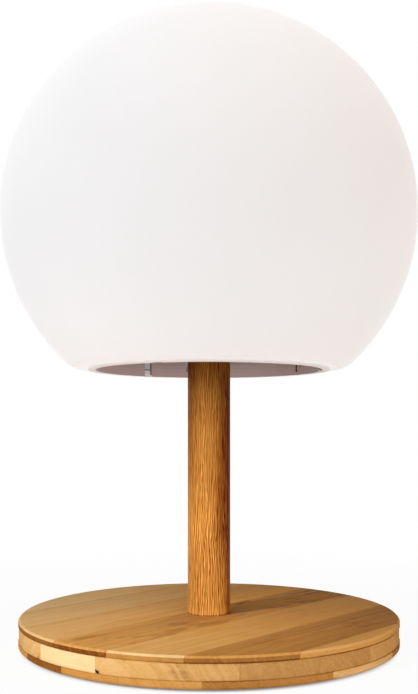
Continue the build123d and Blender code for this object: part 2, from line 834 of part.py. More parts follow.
# Rubber cover of the socket: a flap with a plug that fills the pocket and a rounded hinge edge
with BuildPart() as port_cover:
    with BuildSketch(Plane.XY.offset(cover_top)):
        with Locations((port_x, board_y)):
            SlotOverall(cover_length, cover_width)
        with Locations(((port_x + hinge_x) / 2, board_y)):
            Rectangle(hinge_x - port_x, hinge_width)
    extrude(amount=-cover_thickness)
    with BuildSketch(Plane.XZ.offset(-board_y - hinge_width / 2)):
        with Locations((hinge_x, hinge_z)):
            Circle(cover_thickness / 2)
    extrude(amount=hinge_width)
    plug_length = pocket_length - 2 * cover_plug_clearance
    plug_width = pocket_width - 2 * cover_plug_clearance
    with BuildSketch(Plane.XY.offset(cover_top)):
        with Locations((port_x, board_y)):
            SlotOverall(plug_length, plug_width)
    extrude(amount=pocket_z - cover_plug_clearance - cover_top)
save(port_cover.part, "port_cover")

# Anchor of the cover: a pad on the plate with a stub through it
with BuildPart() as port_cover_anchor:
    with BuildSketch(Plane.XY.offset(plate_z)):
        with Locations((anchor_stub_x, board_y)):
            Rectangle(anchor_length, hinge_width)
    extrude(amount=-cover_thickness)
    stub_top = plate_top + anchor_stub_reach
    add(column(anchor_stub_diameter / 2, plate_z, stub_top, (anchor_stub_x, board_y)))
save(port_cover_anchor.part, "port_cover_anchor")

# Charge light: a clear pin, flush under the plate, with a flange on it
with BuildPart() as charge_light_pipe:
    add(column(pipe_diameter / 2, plate_z, board_bottom - pipe_gap, (0, pipe_y)))
    pipe_flange = pipe_diameter / 2 + pipe_flange_width
    add(column(pipe_flange, plate_top, plate_top + pipe_flange_thickness, (0, pipe_y)))
save(charge_light_pipe.part, "charge_light_pipe")

# Leads from the control board up to the lighting board
with BuildPart() as led_leads:
    loop_z = led_top + lead_loop_rise
    for x in (-lead_spacing / 2, lead_spacing / 2):
        led_route = [
            (x, led_lead_y, board_top),
            (x, led_lead_y, loop_z),
            (x, led_lead_y + lead_loop_span, loop_z),
            (x, led_lead_y + lead_loop_span, led_top),
        ]
        add(lead(led_route, lead_bend))
save(led_leads.part, "led_leads")

# Leads from the battery contacts to the control board
with BuildPart() as battery_leads:
    start_z = cell_axis_z + battery_lead_lift
    end_y = board_y + board_width / 2 - battery_lead_end_inset
    end_z = board_top + battery_lead_end_rise
    for side in (-1, 1):
        battery_route = [
            (side * holder_inside, cell_y, start_z),
            (side * (holder_inside + battery_lead_out), cell_y, start_z),
            (side * (holder_inside + battery_lead_out), battery_lead_corner_y, start_z),
            (side * battery_lead_end_x, end_y, end_z),
            (side * battery_lead_end_x, end_y, board_top),
        ]
        add(lead(battery_route, lead_bend))
save(battery_leads.part, "battery_leads")
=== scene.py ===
"""Finishes of a cordless table lamp: a white globe on a dowel stem and a base of glued staves."""

import math
import random
from typing import NamedTuple

import bmesh
import bpy
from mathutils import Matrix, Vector


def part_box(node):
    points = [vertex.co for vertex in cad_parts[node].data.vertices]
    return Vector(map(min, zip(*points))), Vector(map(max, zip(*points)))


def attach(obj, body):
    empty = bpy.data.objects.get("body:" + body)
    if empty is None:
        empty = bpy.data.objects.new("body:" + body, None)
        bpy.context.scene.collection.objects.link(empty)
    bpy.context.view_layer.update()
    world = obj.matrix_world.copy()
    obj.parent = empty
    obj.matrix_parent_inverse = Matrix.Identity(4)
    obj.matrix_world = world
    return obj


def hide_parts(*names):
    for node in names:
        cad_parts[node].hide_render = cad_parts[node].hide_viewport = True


bl_info = {
    "name": "Cordless Table Lamp",
    "version": (1, 0, 0),
    "blender": (4, 5, 0),
    "location": "View3D > Sidebar > Lamp",
    "description": "Finishes of a globe lamp on a dowel stem, with its studio stage",
    "category": "Object",
}

# The packed model, and the sizes that the pieces take from it
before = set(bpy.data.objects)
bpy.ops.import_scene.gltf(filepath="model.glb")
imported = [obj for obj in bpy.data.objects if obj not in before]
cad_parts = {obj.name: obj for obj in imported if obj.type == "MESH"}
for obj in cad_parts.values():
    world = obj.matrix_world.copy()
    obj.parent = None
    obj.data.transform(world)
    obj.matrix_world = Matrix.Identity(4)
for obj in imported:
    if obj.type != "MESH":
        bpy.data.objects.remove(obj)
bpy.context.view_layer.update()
shade_low, shade_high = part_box("shade")
top_low, top_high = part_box("base_top_ply")
core_low, core_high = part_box("base_core_ply")
bottom_low, bottom_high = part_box("base_bottom_ply")
stem_low, stem_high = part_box("stem")
chips_low, chips_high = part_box("led_chips")
socket_low, socket_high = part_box("usb_socket")
washer_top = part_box("base_washer")[1].z
cell_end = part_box("battery_cell")[1].x
base_radius = core_high.x

white = (1.0, 1.0, 1.0)
black = (0.0, 0.0, 0.0)


def swatch(red, green, blue):
    """Scene colour of a paint chip that is read on a screen in steps of 0 to 255."""
    steps = [value / 255 for value in (red, green, blue)]
    return tuple(v / 12.92 if v <= 0.04045 else ((v + 0.055) / 1.055) ** 2.4 for v in steps)


def shaded(tint, share):
    """Colour made darker, or lighter up to white."""
    return tuple(min(1.0, value * share) for value in tint)


def length(name, description, default):
    """Property for a length in metres."""
    return bpy.props.FloatProperty(
        name=name, description=description, default=default, precision=5, subtype="DISTANCE", unit="LENGTH"
    )


def angle(name, description, degrees):
    """Property for an angle."""
    return bpy.props.FloatProperty(
        name=name, description=description, default=math.radians(degrees), subtype="ANGLE"
    )


def number(name, description, default, unit="NONE"):
    """Property for a number that is neither a length nor an angle."""
    return bpy.props.FloatProperty(name=name, description=description, default=default, min=0, unit=unit)


def count(name, description, default, least=3):
    """Property for a whole number."""
    return bpy.props.IntProperty(name=name, description=description, default=default, min=least)


def colour(name, description, default):
    """Property for a surface colour."""
    return bpy.props.FloatVectorProperty(
        name=name, description=description, default=default, size=3, min=0, max=1, subtype="COLOR"
    )


class ShadeSettings(bpy.types.PropertyGroup):
    """Sizes and colour of the globe"""

    radius: length("Radius", "Half of the globe's width", shade_high.x)
    half_height: length("Half height", "Upright half axis of the ellipse", 0.0875)
    underside: length("Underside", "Height of the flat underside above the table", shade_low.z)
    wall: length("Wall", "Thickness of the moulded wall", 0.0028)
    edge_radius: length("Edge radius", "Rounding between the side and the underside", 0.008)
    hole_radius: length("Hole radius", "Radius of the hole that the collar snaps into", 0.052)
    segments: count("Segments", "Faces round the globe", 192, least=24)
    tint: colour("Colour", "Milky white of the moulded plastic", swatch(240, 240, 242))
    glow: number("Glow", "Light that comes through the wall", 0.53)


class WoodSettings(bpy.types.PropertyGroup):
    """Sizes and tones of the wooden pieces"""

    stave_width: length("Stave width", "Distance between two glue lines", 0.027)
    grain_turn: angle("Grain", "Turn of the top ply's grain", 48.5)
    chip_turn: angle("Chip", "Place of the core's chip from the front", -29.7)
    small_chip_turn: angle("Small chip", "Place of the smaller chip", -54)
    arris: length("Arris", "Chamfer along the outer edges of the base", 0.0008)
    sliver: length("Sliver", "Narrowest stave that is left at the rim", 0.001)
    ease: length("Eased edge", "Sanding of each stave's own edges", 0.00014)
    core_inset: length("Core inset", "How far the core stands back from the other plies", 0.00025)
    bolt_hole: length("Bolt hole", "Radius of the hole for the base bolt", 0.0033)
    bolt_recess: length("Bolt recess", "Radius of the recess for the washer", 0.0094)
    stem_seat: length("Stem seat", "Radius of the seat for the stem", 0.00945)
    pale: colour("Pale", "Sapwood of the base", swatch(244, 218, 166))
    tan: colour("Tan", "Common tone of the base", swatch(212, 155, 82))
    core_tan: colour("Core tan", "Common tone of the core", swatch(222, 172, 105))
    brown: colour("Brown", "Darkest staves and end grain", swatch(122, 67, 21))
    # The chips' near-black colour is painted shadow inside them
    shadowed_chip: colour("Chip", "Chips out of the core's edge", swatch(34, 22, 12))
    dowel: colour("Dowel", "Common tone of the stem", swatch(196, 131, 56))
    dowel_light: colour("Dowel light", "Palest strokes of the stem", swatch(242, 178, 94))
    # The dark tone also serves as the painted shade on the stem's right side
    dowel_dark: colour("Dowel dark", "Flecks and heart side of the stem", swatch(112, 40, 9))


class ModuleSettings(bpy.types.PropertyGroup):
    """Colours of the collar, the light module and its controls"""

    mouth: length("Mouth", "Radius of the collar's inner wall", 0.0495)
    collar: colour("Collar", "Satin grey of the collar's wall", swatch(214, 192, 191))
    lip: colour("Lip", "Pale flange of the collar", swatch(232, 228, 225))
    housing: colour("Housing", "Moulded grey of the light module", swatch(136, 128, 129))
    button: colour("Button", "Paler grey of the push button", swatch(188, 184, 184))
    rubber: colour("Rubber", "Dark grey of the socket's cover and of the pads", swatch(62, 60, 61))


class LightSettings(bpy.types.PropertyGroup):
    """Places of the light-emitting packages"""

    outer_circle: length("Outer circle", "Radius of the outer ring", 0.025)
    outer_count: count("Outer count", "Packages in the outer ring", 12)
    outer_turn: angle("Outer turn", "Angle of the outer ring's first package", 15)
    inner_circle: length("Inner circle", "Radius of the inner ring", 0.013)
    inner_count: count("Inner count", "Packages in the inner ring", 6)
    package_width: length("Width", "Package size along the radius", 0.0028)
    package_length: length("Length", "Package size across the radius", 0.0035)
    window_rim: length("Window rim", "White frame round the phosphor", 0.0004)


class StageSettings(bpy.types.PropertyGroup):
    """Camera, lamps and floor"""

    distance: length("Distance", "From the lamp's axis to the camera", 0.4125)
    height: length("Height", "Camera above the table", 0.0910)
    lens: number("Lens", "Focal length", 48.5, unit="CAMERA")
    rise: number("Rise", "Upward shift of the picture", 0.128)
    key_power: number("Key", "Soft lamp at the left", 11.2, unit="POWER")
    fill_power: number("Fill", "Soft lamp at the right", 1.8, unit="POWER")
    stem_power: number("Stem lamp", "Narrow lamp low at the left", 24.5, unit="POWER")
    base_power: number("Base lamp", "Narrow lamp on the top of the base", 58, unit="POWER")
    front_power: number("Front lamp", "Narrow lamp low at the front", 25.5, unit="POWER")
    sky: number("Sky", "Light from all round", 0.34)
    sky_warm: colour("Warm sky", "Light that comes from the right", (0.8, 0.5, 0.22))


class Wire:
    """A socket of a node tree: sums and products add Math nodes, and node() adds any other node."""

    def __init__(self, tree, socket=None):
        self.tree = tree
        self.socket = socket

    def node(self, kind, settings=None, inputs=None, output=0):
        """Add a node: first its settings, then the values or links of its sockets."""
        made = self.tree.nodes.new(kind)
        for name, value in (settings or {}).items():
            if name == "stops":
                while len(made.color_ramp.elements) < len(value):
                    made.color_ramp.elements.new(1)
                for element, (place, tint) in zip(made.color_ramp.elements, value):
                    element.position = place
                    element.color = tint
            else:
                setattr(made, name, value)
        for name, value in (inputs or {}).items():
            if isinstance(value, Wire):
                value.into(made, name)
            else:
                made.inputs[name].default_value = value
        return Wire(self.tree, made.outputs[output])

    def output(self, name):
        """Another output of the node that this wire comes from."""
        return Wire(self.tree, self.socket.node.outputs[name])

    def into(self, node, name):
        """Link this wire to a socket of a node that is there already."""
        self.tree.links.new(self.socket, node.inputs[name])

    def then(self, kind, **inputs):
        """What a geometry node makes of this geometry."""
        named = {name.replace("_", " "): value for name, value in inputs.items()}
        return self.node("GeometryNode" + kind, inputs={"Geometry": self, **named})

    def maths(self, operation, *values):
        """Number from a Math node."""
        return self.node("ShaderNodeMath", {"operation": operation}, dict(enumerate(values)))

    def __add__(self, other):
        return self.maths("ADD", self, other)

    def __radd__(self, other):
        return self.maths("ADD", other, self)

    def __sub__(self, other):
        return self.maths("SUBTRACT", self, other)

    def __rsub__(self, other):
        return self.maths("SUBTRACT", other, self)

    def __mul__(self, other):
        return self.maths("MULTIPLY", self, other)

    def __rmul__(self, other):
        return self.maths("MULTIPLY", other, self)

    def __truediv__(self, other):
        return self.maths("DIVIDE", self, other)

    def __pow__(self, other):
        return self.maths("POWER", self, other)

    def __neg__(self):
        return self * -1

    def __abs__(self):
        return self.maths("ABSOLUTE", self)

    def step(self, low, high):
        """Smooth rise from 0 at low to 1 at high."""
        span = {"Value": self, "From Min": low, "From Max": high}
        return self.node("ShaderNodeMapRange", {"interpolation_type": "SMOOTHSTEP"}, span)

    def axes(self):
        """The three numbers of this place."""
        x = self.node("ShaderNodeSeparateXYZ", inputs={"Vector": self})
        return x, x.output("Y"), x.output("Z")

    def mark(self, name, output="Fac"):
        """What the faces of the mesh keep under this name."""
        return self.node("ShaderNodeAttribute", {"attribute_name": name}, output=output)

    def turned(self, turn):
        """This place as it is seen along axes that are turned about the upright one."""
        settings = {"vector_type": "TEXTURE"}
        return self.node("ShaderNodeMapping", settings, {"Vector": self, "Rotation": (0, 0, turn)})

    def scaled(self, along, across=None, up=None):
        """Waves per metre along each axis at this place. One that isn't given is as the one before it."""
        across = across or along
        size = (1 / along, 1 / across, 1 / (up or across))
        return self.node("ShaderNodeMapping", {"vector_type": "TEXTURE"}, {"Vector": self, "Scale": size})

    def noise(self, detail=2.0):
        """Cloudy value about 0.5 at this place."""
        return self.node("ShaderNodeTexNoise", inputs={"Vector": self, "Scale": 1.0, "Detail": detail})

    def mixed(self, first, second):
        """Colour that goes from the first to the second as this value goes from 0 to 1."""
        settings = {"data_type": "RGBA", "clamp_factor": True}
        sockets = {0: self, 6: opaque(first), 7: opaque(second)}
        return self.node("ShaderNodeMix", settings, sockets, output=2)

    def ramp(self, *stops):
        """Colour along a row of stops."""
        rows = [(place, opaque(tint)) for place, tint in stops]
        return self.node("ShaderNodeValToRGB", {"stops": rows}, {"Fac": self})

    def bump(self, depth):
        """Surface normal of this height, whose full range is that many metres."""
        relief = {"Height": self, "Strength": 1.0, "Distance": depth}
        return self.node("ShaderNodeBump", inputs=relief, output="Normal")


def opaque(tint):
    """Colour with its alpha, or a wire as it is."""
    return tint if isinstance(tint, Wire) else (*tint, 1.0)


def from_axis(across, deep):
    """Distance from an axis, from the two distances at right angles to it."""
    return (across ** 2 + deep ** 2) ** 0.5


def new_finish(name, **constants):
    """Material whose shader has these constant values, and the object place that its patterns follow."""
    material = bpy.data.materials.new(name)
    material.use_nodes = True
    shader = material.node_tree.nodes["Principled BSDF"]
    for socket, value in constants.items():
        shader.inputs[socket.replace("_", " ")].default_value = value
    return material, Wire(material.node_tree).node("ShaderNodeTexCoord", output="Object")


def feed(material, **wires):
    """Link wires to the sockets of the material's shader."""
    shader = material.node_tree.nodes["Principled BSDF"]
    for socket, wire in wires.items():
        wire.into(shader, socket.replace("_", " "))
    return material


def milky_plastic(name, tint, glow, hole):
    """Satin plastic that lets light through, with the faint orange peel of its mould; its glow is painted
    light.
    """
    material, place = new_finish(
        name,
        Subsurface_Weight=0.5,
        Subsurface_Radius=(0.006, 0.0055, 0.005),
        Subsurface_Scale=1.0,
        Specular_IOR_Level=0.1,
        Emission_Strength=glow,
    )
    x, y, z = place.axes()
    lift = z - shade_low.z
    cloud = place.scaled(14).noise(3)
    peel = place.scaled(900).noise(1)
    milk = cloud.step(0.3, 0.7).mixed(shaded(tint, 0.97), tint)
    # Painted light: the glow is brighter towards the bottom
    low = 1 - lift.step(0, 0.11)
    # Painted shade: less glow on the hole's edge and inner wall; the edge's top painted black as shadow
    near = 1 - from_axis(x, y).step(hole + 0.0001, hole + 0.0004)
    edge = near * (1 - lift.step(0.003, 0.0032))
    painted_shadow = edge * lift.step(0.0022, 0.0024)
    painted_shade = 0.55 * edge + 0.6 * painted_shadow + 0.8 * place.mark("inner")
    return feed(
        material,
        Base_Color=(0.8 * painted_shadow).mixed(milk, black),
        Emission_Color=painted_shade.mixed(low.mixed(milk, shaded(tint, 1.05)), black),
        Roughness=0.5 + 0.1 * cloud,
        Normal=peel.bump(0.00002),
    )


def stave_wood(name, wood, turn, common, shade_slope, chips=()):
    """Glued staves: rings, fibres and pores that follow each stave's own tone and place, painted shade, and
    chips painted dark as their shadow.
    """
    material, place = new_finish(name, Coat_Roughness=0.3, Specular_IOR_Level=0.003)
    x, _, z = place.axes()
    tone, shift, figure = place.mark("stave", "Vector").axes()
    end_grain = place.mark("end_grain")
    # Each stave is sawn from another place in the tree
    sawn_at = {"X": shift * 0.31, "Y": shift * 0.17, "Z": shift * 0.02}
    moved = {0: place, 1: place.node("ShaderNodeCombineXYZ", inputs=sawn_at)}
    grain = place.node("ShaderNodeVectorMath", {"operation": "ADD"}, moved).turned(turn)
    along, across, up = grain.axes()
    wander = grain.scaled(9, 45).noise() - 0.5
    pith = from_axis(across + wander * 0.012, up * 1.7 + 0.03)
    growth = {"X": pith * 800, "Y": along * 6, "Z": shift * 9}
    ring = place.node("ShaderNodeCombineXYZ", inputs=growth).noise(2.5)
    fibre = grain.scaled(28, 1500).noise()
    pore = grain.scaled(160, 2600).noise(1).step(0.62, 0.72)
    blotch = grain.scaled(55, 130).noise(3).step(0.52, 0.68) * figure
    figured = (0.1 + 0.3 * figure) * (ring - 0.5) + 0.2 * (fibre - 0.5) + 0.16 * blotch + 0.08 * pore
    # The glue shows along both joints of the core, unevenly; the upper joint is darker at the right as a
    # painted shadow under the top ply's rim
    lower, upper = [1 - abs(z - joint).step(0.0001, 0.0004) for joint in (core_low.z, core_high.z)]
    spread = 0.35 + 0.65 * place.scaled(45).noise().step(0.35, 0.65)
    glue = spread * (0.2 * lower + (0.28 + 0.3 * x.step(-0.03, 0.05)) * upper)
    # Painted shade: the ply darkens along its grain by the given slope, towards the back right
    far = place.turned(turn).axes()[0]
    depth = tone + figured + 0.2 * end_grain + 0.5 * place.mark("seam") + shade_slope * far + glue
    timber = depth.ramp((0.0, wood.pale), (0.45, common), (0.95, wood.brown))
    height = 0.5 * fibre + 0.35 * ring - 0.6 * pore
    ragged = 0.002 * (place.scaled(1400).noise() - 0.5)
    # Each chip is sunk a little and painted near-black as the shadow inside it
    for middle, radius in chips:
        ends = {0: place, 1: middle}
        gap = place.node("ShaderNodeVectorMath", {"operation": "DISTANCE"}, ends, output="Value")
        shadowed_chip = 1 - (gap + ragged).step(radius * 0.7, radius)
        timber = shadowed_chip.mixed(timber, wood.shadowed_chip)
        height = height - 8 * shadowed_chip
    return feed(
        material,
        Base_Color=timber,
        Roughness=0.45 + 0.16 * fibre + 0.15 * end_grain,
        Coat_Weight=0.02 * (1 - end_grain),
        Normal=height.bump(0.00005),
    )


def dowel_wood(name, wood):
    """Dowel with short near-upright flecks, a scuffed foot, painted shade on its right side, left edge, top
    end and foot, and painted light on the foot's front.
    """
    material, place = new_finish(name, Specular_IOR_Level=0.02)
    across, deep, up = place.axes()
    lift = up - top_high.z
    round_turn = place.maths("ARCTAN2", across, -deep)
    sway = place.scaled(60, 60, 70).noise() - 0.5
    phase = place.scaled(420, 420, 75).noise()
    stroke = place.maths("SINE", 57 * round_turn + 18 * phase)
    broken = place.scaled(560, 560, 150).noise(1).step(0.3, 0.52)
    fine = place.scaled(3600, 3600, 150).noise(1)
    band = place.scaled(110, 110, 8).noise()
    # Heights on the stem, from the table up: painted contact shadow, scuffs, a foot band with painted light
    # and shade, and the painted shade at the top end
    contact_shadow = 1 - lift.step(0.0002, 0.0007)
    foot = 1 - lift.step(0.0005, 0.006)
    lit_and_shaded_foot = 1 - lift.step(0.014, 0.034)
    low = 1 - lift.step(0.02, 0.075)
    shaded_top = up.step(stem_high.z - 0.02, stem_high.z - 0.008)
    # Sides of the stem, from left to right: painted shade on the upper left edge, on the right third and on
    # the right edge
    edge = (-across).step(0.003, 0.0092) * up.step(0.05, 0.1)
    rising = (0.1 + 0.9 * lift.step(0.01, 0.042)) * (1 - 0.7 * shaded_top)
    heart = (across + sway * 0.003).step(0.0012, 0.0066) * rising
    painted_limb_shade = across.step(0.0058, 0.009) * (1 - 0.7 * shaded_top)
    fibre = (0.2 + 0.14 * low) * broken * stroke + (0.7 + 0.3 * low) * (fine - 0.5)
    # The flecks' tone, with painted shade on the right third, both edges and the top end, and painted light
    # and shade on the foot
    depth = 0.44 - fibre + 0.3 * (band - 0.5) + 0.34 * heart + 0.2 * shaded_top + 0.2 * painted_limb_shade + 0.3 * edge
    depth = depth - 0.13 * lit_and_shaded_foot * across.step(-0.003, 0.003) + 0.3 * lit_and_shaded_foot * painted_limb_shade
    # Scuffs at the foot, and the painted contact shadow at the table
    worn_and_shaded = depth - 0.2 * foot * fine.step(0.4, 0.6) + 0.4 * contact_shadow
    return feed(
        material,
        Base_Color=worn_and_shaded.ramp((0.0, wood.dowel_light), (0.45, wood.dowel), (1.0, wood.dowel_dark)),
        Roughness=0.45 + 0.3 * (0.5 - fine),
        Normal=(0.25 * stroke + 0.6 * fine).bump(0.0001),
    )


def satin_grey(name, tint, lip, mouth):
    """Satin grey ring with faint turned streaks round its wall and a pale lip outside the mouth; both glow
    as painted light.
    """
    material, place = new_finish(name, IOR=1.5, Specular_IOR_Level=0.3, Emission_Strength=0.28)
    x, y, z = place.axes()
    lift = z - shade_low.z
    streak = place.scaled(12, 12, 1500).noise(3)
    cloud = place.scaled(60, 60, 160).noise()
    # Painted light: the wall is paler and glows more low down, towards the mouth
    low = 1 - lift.step(0, 0.008)
    # The flange under the globe; the sides of slots and grooves, painted dark as shade; and the two index
    # grooves among them
    outside = from_axis(x, y).step(mouth + 0.0002, mouth + 0.0005)
    flange = outside * (1 - lift.step(-0.0001, 0.0001))
    cut = outside - flange
    index = x.step(0.029, 0.03) * y.step(0.015, 0.016)
    grey = (0.45 * streak + 0.25 * cloud + 0.3 * low).step(0.3, 0.65).mixed(shaded(tint, 0.8), tint)
    wall = (cut * (0.4 + 0.6 * index)).mixed(grey, shaded(tint, 0.1))
    # Painted light: the wall glows, less towards its right end as painted shade, and the lip glows in its
    # own colour
    glow = (0.23 + 0.32 * streak + 0.26 * low) * (1 - 0.45 * x.step(0.02, 0.046))
    return feed(
        material,
        Base_Color=flange.mixed(wall, lip),
        Emission_Color=flange.mixed((glow * (1 - cut)).mixed(black, tint), lip),
        Roughness=0.34 + 0.16 * streak,
        Normal=streak.bump(0.00003),
    )


def moulded_plastic(name, tint, grit=0.00003, rough=0.5):
    """Moulded plastic with a fine spark-eroded texture and slightly uneven colour."""
    material, place = new_finish(name, IOR=1.48)
    cloud = place.scaled(45).noise(3)
    spark = place.scaled(2600).noise(1)
    return feed(
        material,
        Base_Color=cloud.step(0.3, 0.7).mixed(shaded(tint, 0.85), tint),
        Roughness=rough + 0.14 * (spark - 0.5),
        Normal=spark.bump(grit),
    )


def soft_rubber(name, tint):
    """Matt rubber with a dusty bloom."""
    material, place = new_finish(name, IOR=1.5, Specular_IOR_Level=0.3)
    bloom = place.scaled(180).noise(4)
    skin = place.scaled(3200).noise(1)
    dusty = tuple(min(1.0, value * 1.5 + 0.01) for value in tint)
    return feed(
        material,
        Base_Color=bloom.step(0.4, 0.75).mixed(tint, dusty),
        Roughness=0.72 + 0.16 * bloom,
        Normal=skin.bump(0.00004),
    )


def turned_metal(name, tint, rough=0.28, lines=2200):
    """Metal turned or drawn, with fine lines and a few dull spots."""
    material, place = new_finish(name, Metallic=1.0)
    line = place.scaled(40, 40, lines).noise()
    dull = place.scaled(320).noise(3).step(0.5, 0.8)
    return feed(
        material,
        Base_Color=(0.5 * line + 0.4 * dull).mixed(tint, shaded(tint, 0.7)),
        Roughness=rough + 0.2 * dull + 0.08 * line,
        Normal=line.bump(0.00002),
    )


def ring_gaps(place, size):
    """Distance from the gaps in the lighting board's copper, between the rings and under each package."""
    x, y, _ = place.axes()
    out = from_axis(x, y)
    turn = place.maths("ARCTAN2", y, x)
    between = (size.outer_circle + size.inner_circle) / 2
    rings = ((size.inner_count / 2, 0.0), (size.outer_count / 2, size.outer_turn))
    near, far = [out * abs(place.maths("SINE", half * (turn - first))) / half for half, first in rings]
    outside = out.step(between, between + 0.0001)
    spoke = outside * far + (1 - outside) * near
    return place.maths("MINIMUM", spoke, abs(out - between))


def lane_gaps(place, wide, deep):
    """Distance from the gaps in the control board's copper, in straight rows."""
    x, y, _ = place.axes()
    across, along = place.maths("PINGPONG", x, wide / 2), place.maths("PINGPONG", y, deep / 2)
    return place.maths("MINIMUM", across, along)


def circuit_board(name, mask, gap_tint, layout, *sizes):
    """Board under solder mask, with the relief of its copper and a few tinned holes."""
    material, place = new_finish(name, Coat_Weight=0.4, Coat_Roughness=0.2)
    channel = 1 - layout(place, *sizes).step(0.0001, 0.0002)
    spots = {"Vector": place.scaled(270, 270, 1), "Scale": 1.0, "Randomness": 0.8}
    middle = place.node("ShaderNodeTexVoronoi", {"feature": "F1"}, spots, output="Distance")
    kept = place.scaled(54, 54, 1).noise(1).step(0.52, 0.54)
    hole = (1 - middle.step(0.07, 0.09)) * kept
    cloud = place.scaled(80).noise()
    ground = channel.mixed(cloud.mixed(shaded(mask, 0.93), mask), gap_tint)
    return feed(
        material,
        Base_Color=(0.8 * hole).mixed(ground, swatch(168, 160, 142)),
        Roughness=0.34 + 0.12 * cloud,
        Normal=(1 - channel - 2 * hole).bump(0.00003),
    )


def shrink_wrap(name, tint, metal):
    """Battery in shrink film, with bare metal at its two ends."""
    material, place = new_finish(name, Coat_Weight=0.4, Coat_Roughness=0.12)
    bare = abs(place.axes()[0]).step(cell_end - 0.0006, cell_end - 0.0003)
    crease = place.scaled(260, 700).noise(3)
    film = crease.step(0.3, 0.7).mixed(shaded(tint, 0.8), tint)
    return feed(
        material,
        Base_Color=bare.mixed(film, metal),
        Metallic=bare,
        Roughness=0.28 + 0.15 * crease,
        Normal=crease.bump(0.00004),
    )


def lead_sleeves(name, left, right):
    """Two insulated leads side by side, each of its own colour."""
    material, place = new_finish(name, IOR=1.5)
    sleeve = place.axes()[0].step(-0.0002, 0.0002).mixed(left, right)
    grime = place.scaled(900).noise()
    return feed(
        material,
        Base_Color=(0.25 * grime).mixed(sleeve, (0.02, 0.02, 0.02)),
        Roughness=0.4 + 0.2 * grime,
        Normal=grime.bump(0.00002),
    )


def socket_metal(name, tint):
    """Nickel shell of the charging socket, black inside round its tongue."""
    material, place = new_finish(name, IOR=1.5)
    middle = (socket_low + socket_high) / 2
    half_wide, half_deep, soft = 0.0038, 0.001, 0.0001
    x, y, _ = place.axes()
    across = abs(x - middle.x).step(half_wide - soft, half_wide + soft)
    deep = abs(y - middle.y).step(half_deep - soft, half_deep + soft)
    inside = (1 - across) * (1 - deep)
    scratch = place.scaled(300, 1800, 500).noise()
    return feed(
        material,
        Base_Color=inside.mixed(tint, (0.012, 0.012, 0.013)),
        Metallic=1 - inside,
        Roughness=0.25 + 0.2 * scratch,
        Normal=scratch.bump(0.00001),
    )


def cloudy(name, first, second, grains, rough, spread, **constants):
    """Clear plastic or gel, with one fine cloud in its colour, gloss and surface."""
    material, place = new_finish(name, **constants)
    haze = place.scaled(grains).noise()
    return feed(
        material,
        Base_Color=haze.mixed(first, second),
        Roughness=rough + spread * haze,
        Normal=haze.bump(0.00001),
    )


def dress(finish, *names):
    """Give CAD pieces, whose shape is right already, their finish."""
    for name in names:
        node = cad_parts[name]
        node.data.materials.clear()
        node.data.materials.append(finish)


def place_piece(name, mesh, body, node):
    """Put a finished mesh in the scene in place of a CAD piece."""
    piece = bpy.data.objects.new(name, mesh)
    bpy.context.scene.collection.objects.link(piece)
    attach(piece, body)
    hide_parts(node)


def keep_marks(mesh, name, kind, values):
    """Keep a value on each face of a mesh, which finishes and node trees read by its name."""
    field = "vector" if kind == "FLOAT_VECTOR" else "value"
    mesh.attributes.new(name, kind, "FACE").data.foreach_set(field, values)


def grown_mesh(name, source, tree, values):
    """Plain mesh that a node tree grows from a source mesh, with its inputs set by name."""
    carrier = bpy.data.objects.new(name, source)
    bpy.context.scene.collection.objects.link(carrier)
    modifier = carrier.modifiers.new("grown", "NODES")
    modifier.node_group = tree
    for item in tree.interface.items_tree:
        if item.in_out == "INPUT" and item.name in values:
            modifier[item.identifier] = values[item.name]
    evaluated = carrier.evaluated_get(bpy.context.evaluated_depsgraph_get())
    mesh = bpy.data.meshes.new_from_object(evaluated)
    carrier.modifiers.clear()
    bpy.data.objects.remove(carrier)
    mesh.name = name
    return mesh


def new_tree(name, **sockets):
    """Geometry node tree with named inputs, and the wire of the geometry that it is given."""
    tree = bpy.data.node_groups.new(name, "GeometryNodeTree")
    for way in ("OUTPUT", "INPUT"):
        tree.interface.new_socket("Geometry", in_out=way, socket_type="NodeSocketGeometry")
    for socket, kind in sockets.items():
        tree.interface.new_socket(socket.replace("_", " "), in_out="INPUT", socket_type="NodeSocket" + kind)
    return tree, Wire(tree).node("NodeGroupInput", output="Geometry")


def lathe_tree():
    """Tree that turns a row of profile points about the lamp's axis."""
    tree, given = new_tree("turned_globe", Segments="Int", Finish="Material")
    points = given.then("AttributeDomainSize").output("Point Count")
    rows = {"Size X": 1.0, "Size Y": 1.0, "Vertices X": points, "Vertices Y": given.output("Segments") + 1}
    grid = given.node("GeometryNodeMeshGrid", inputs=rows, output="Mesh")
    spot = given.node("GeometryNodeInputPosition")
    x, y, _ = spot.axes()
    row = given.maths("ROUND", (x + 0.5) * (points - 1))
    turn = (y + 0.5) * math.tau
    sampled = {"Geometry": given, "Value": spot, "Index": row}
    point = given.node("GeometryNodeSampleIndex", {"data_type": "FLOAT_VECTOR", "domain": "POINT"}, sampled)
    swung = {"Vector": point, "Angle": turn}
    turned = given.node("ShaderNodeVectorRotate", {"rotation_type": "Z_AXIS"}, swung)
    closed = grid.then("SetPosition", Position=turned).then("MergeByDistance", Distance=1e-6)
    real = closed.then("SetShadeSmooth", Shade_Smooth=True).then("RealizeInstances")
    done = real.then("SetMaterial", Material=given.output("Finish"))
    done.into(tree.nodes.new("NodeGroupOutput"), "Geometry")
    return tree


